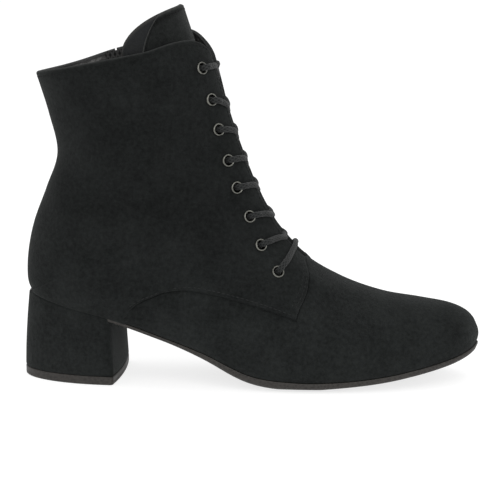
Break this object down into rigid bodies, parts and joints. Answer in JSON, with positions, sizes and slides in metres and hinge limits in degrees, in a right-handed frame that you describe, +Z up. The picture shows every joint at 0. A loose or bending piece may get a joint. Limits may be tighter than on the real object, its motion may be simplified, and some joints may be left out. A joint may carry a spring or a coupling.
{
  "type": "ankle boot",
  "caption": "Black suede lace-up ankle boot for the right foot, with a covered block heel and a zip on the inner side.",
  "frame": {"origin": "centre of the boot's box in X and Y, on the floor that it stands on", "axes": "+X from heel to toe, +Y from the outer side to the inner side of the foot, +Z up"},
  "size_m": [0.2496, 0.0808, 0.2028],
  "materials": {
    "black_suede": "napped, matt",
    "sole_rubber": "matt",
    "lining_leather": "smooth",
    "lace_cord": "braided",
    "gunmetal": "dark plated"
  },
  "bodies": {
    "boot": {"upper": "black_suede", "tongue": "black_suede", "heel": "black_suede", "insole": "lining_leather", "outsole": "sole_rubber", "top_lift": "sole_rubber", "eyelet_outer_1": "gunmetal", "eyelet_outer_2": "gunmetal", "eyelet_outer_3": "gunmetal", "eyelet_outer_4": "gunmetal", "eyelet_outer_5": "gunmetal", "eyelet_outer_6": "gunmetal", "eyelet_outer_7": "gunmetal", "eyelet_outer_8": "gunmetal", "eyelet_inner_1": "gunmetal", "eyelet_inner_2": "gunmetal", "eyelet_inner_3": "gunmetal", "eyelet_inner_4": "gunmetal", "eyelet_inner_5": "gunmetal", "eyelet_inner_6": "gunmetal", "eyelet_inner_7": "gunmetal", "eyelet_inner_8": "gunmetal", "lace_crossing_1": "lace_cord", "lace_crossing_2": "lace_cord", "lace_crossing_3": "lace_cord", "lace_crossing_4": "lace_cord", "lace_crossing_5": "lace_cord", "lace_crossing_6": "lace_cord", "lace_crossing_7": "lace_cord", "lace_bar": "lace_cord", "zip_tape": "lace_cord", "zip_slider": "gunmetal"},
    "zip_pull": {"zip_pull": "gunmetal"}
  },
  "joints": [
    {"name": "zip_pull_hinge", "type": "hinge", "parent": "boot", "child": "zip_pull", "pos_m": [-0.07558, 0.03485, 0.16248], "axis": [0.9922, 0.125, 0], "range_deg": [-8, 170]}
  ]
}
